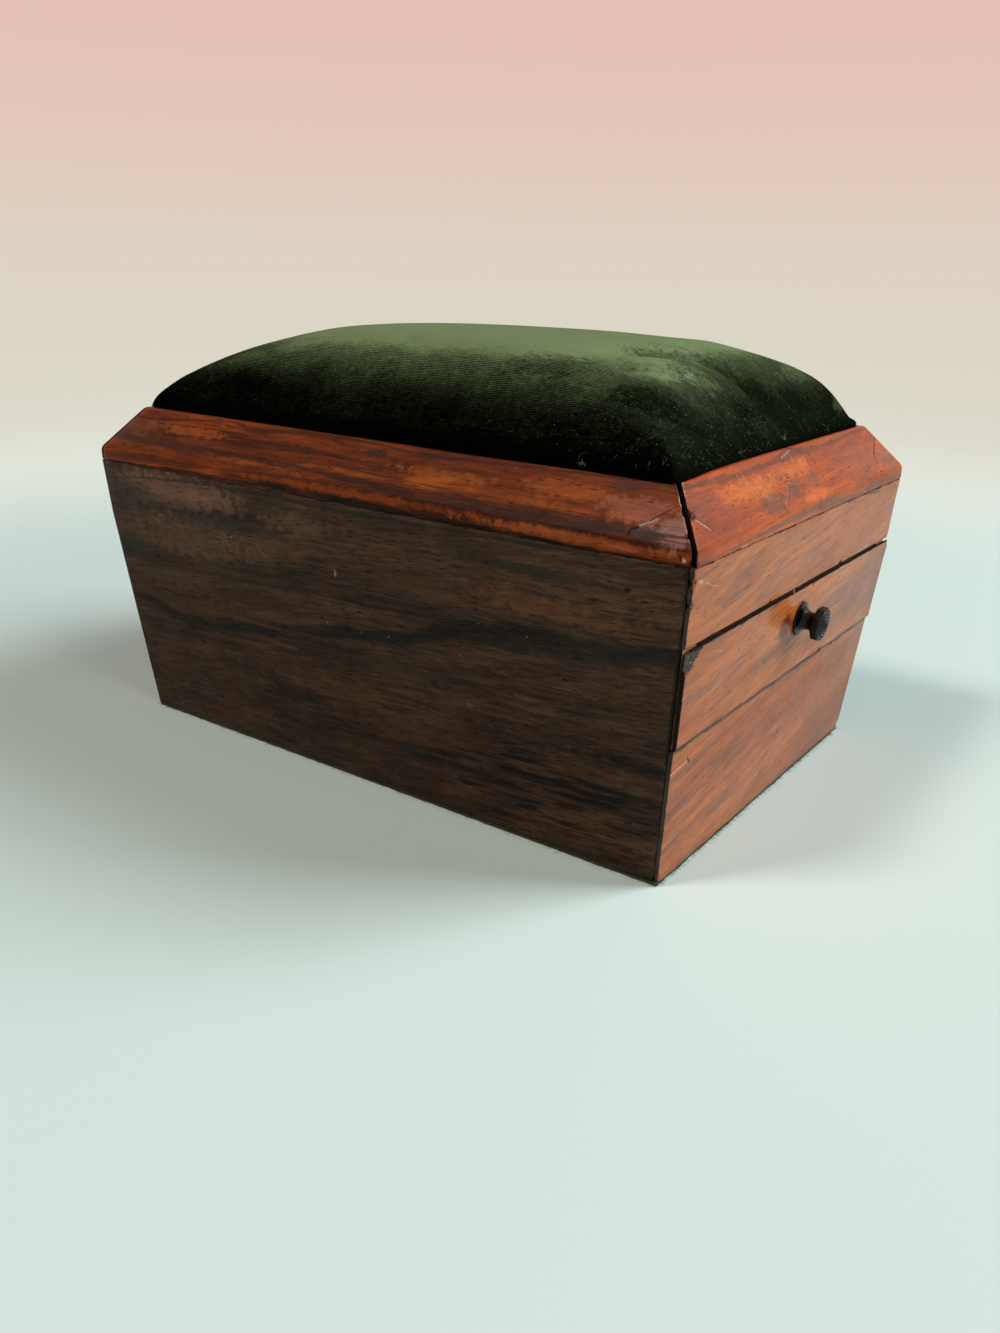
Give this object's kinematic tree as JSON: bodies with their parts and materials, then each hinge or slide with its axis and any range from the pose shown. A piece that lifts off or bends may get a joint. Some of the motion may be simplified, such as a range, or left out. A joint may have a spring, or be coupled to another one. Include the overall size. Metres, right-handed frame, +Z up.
{
  "type": "weighted pincushion box",
  "caption": "Tapered veneered wooden box with a domed velvet pincushion in a mitred rim, a small drawer with a turned knob in one end, and a lead weight in its base.",
  "frame": {"origin": "middle of the underside of the baize, which is the face the box rests on", "axes": "+X along the length, out of the drawer end; +Y towards the right side as seen facing the drawer; +Z up"},
  "size_m": [0.1855, 0.125, 0.1091],
  "materials": {
    "baize": "matte",
    "pine": "matte",
    "lead": "matte",
    "wadding": "matte",
    "iron": "satin",
    "side_veneer": "satin",
    "end_veneer": "satin",
    "rim_rosewood": "gloss",
    "wool_filling": "matte",
    "green_velvet": "matte",
    "mahogany": "satin",
    "lining_paper": "matte",
    "ebony": "gloss"
  },
  "bodies": {
    "carcass": {"base_felt": "baize", "base_board": "pine", "left_side": "pine", "right_side": "pine", "back_end": "pine", "front_top_rail": "pine", "front_bottom_rail": "pine", "dust_board": "pine", "top_board": "pine", "lead_weight": "lead", "weight_battens": "pine", "weight_packing": "wadding", "drawer_stops": "pine", "carcass_brads": "iron", "left_veneer": "side_veneer", "right_veneer": "side_veneer", "back_veneer": "end_veneer", "front_top_veneer": "end_veneer", "front_bottom_veneer": "end_veneer", "rim_left": "rim_rosewood", "rim_right": "rim_rosewood", "rim_front": "rim_rosewood", "rim_back": "rim_rosewood", "pad_board": "pine", "cushion_filling": "wool_filling", "velvet_cover": "green_velvet", "velvet_tacks": "iron"},
    "drawer": {"drawer_front": "mahogany", "drawer_front_veneer": "end_veneer", "drawer_left_side": "mahogany", "drawer_right_side": "mahogany", "drawer_back": "mahogany", "drawer_bottom": "mahogany", "drawer_lining": "lining_paper", "drawer_pins": "iron", "drawer_knob": "ebony"}
  },
  "joints": [
    {"name": "drawer_slide", "type": "slide", "parent": "carcass", "child": "drawer", "axis": [1, 0, 0], "range_m": [0, 0.12]}
  ]
}
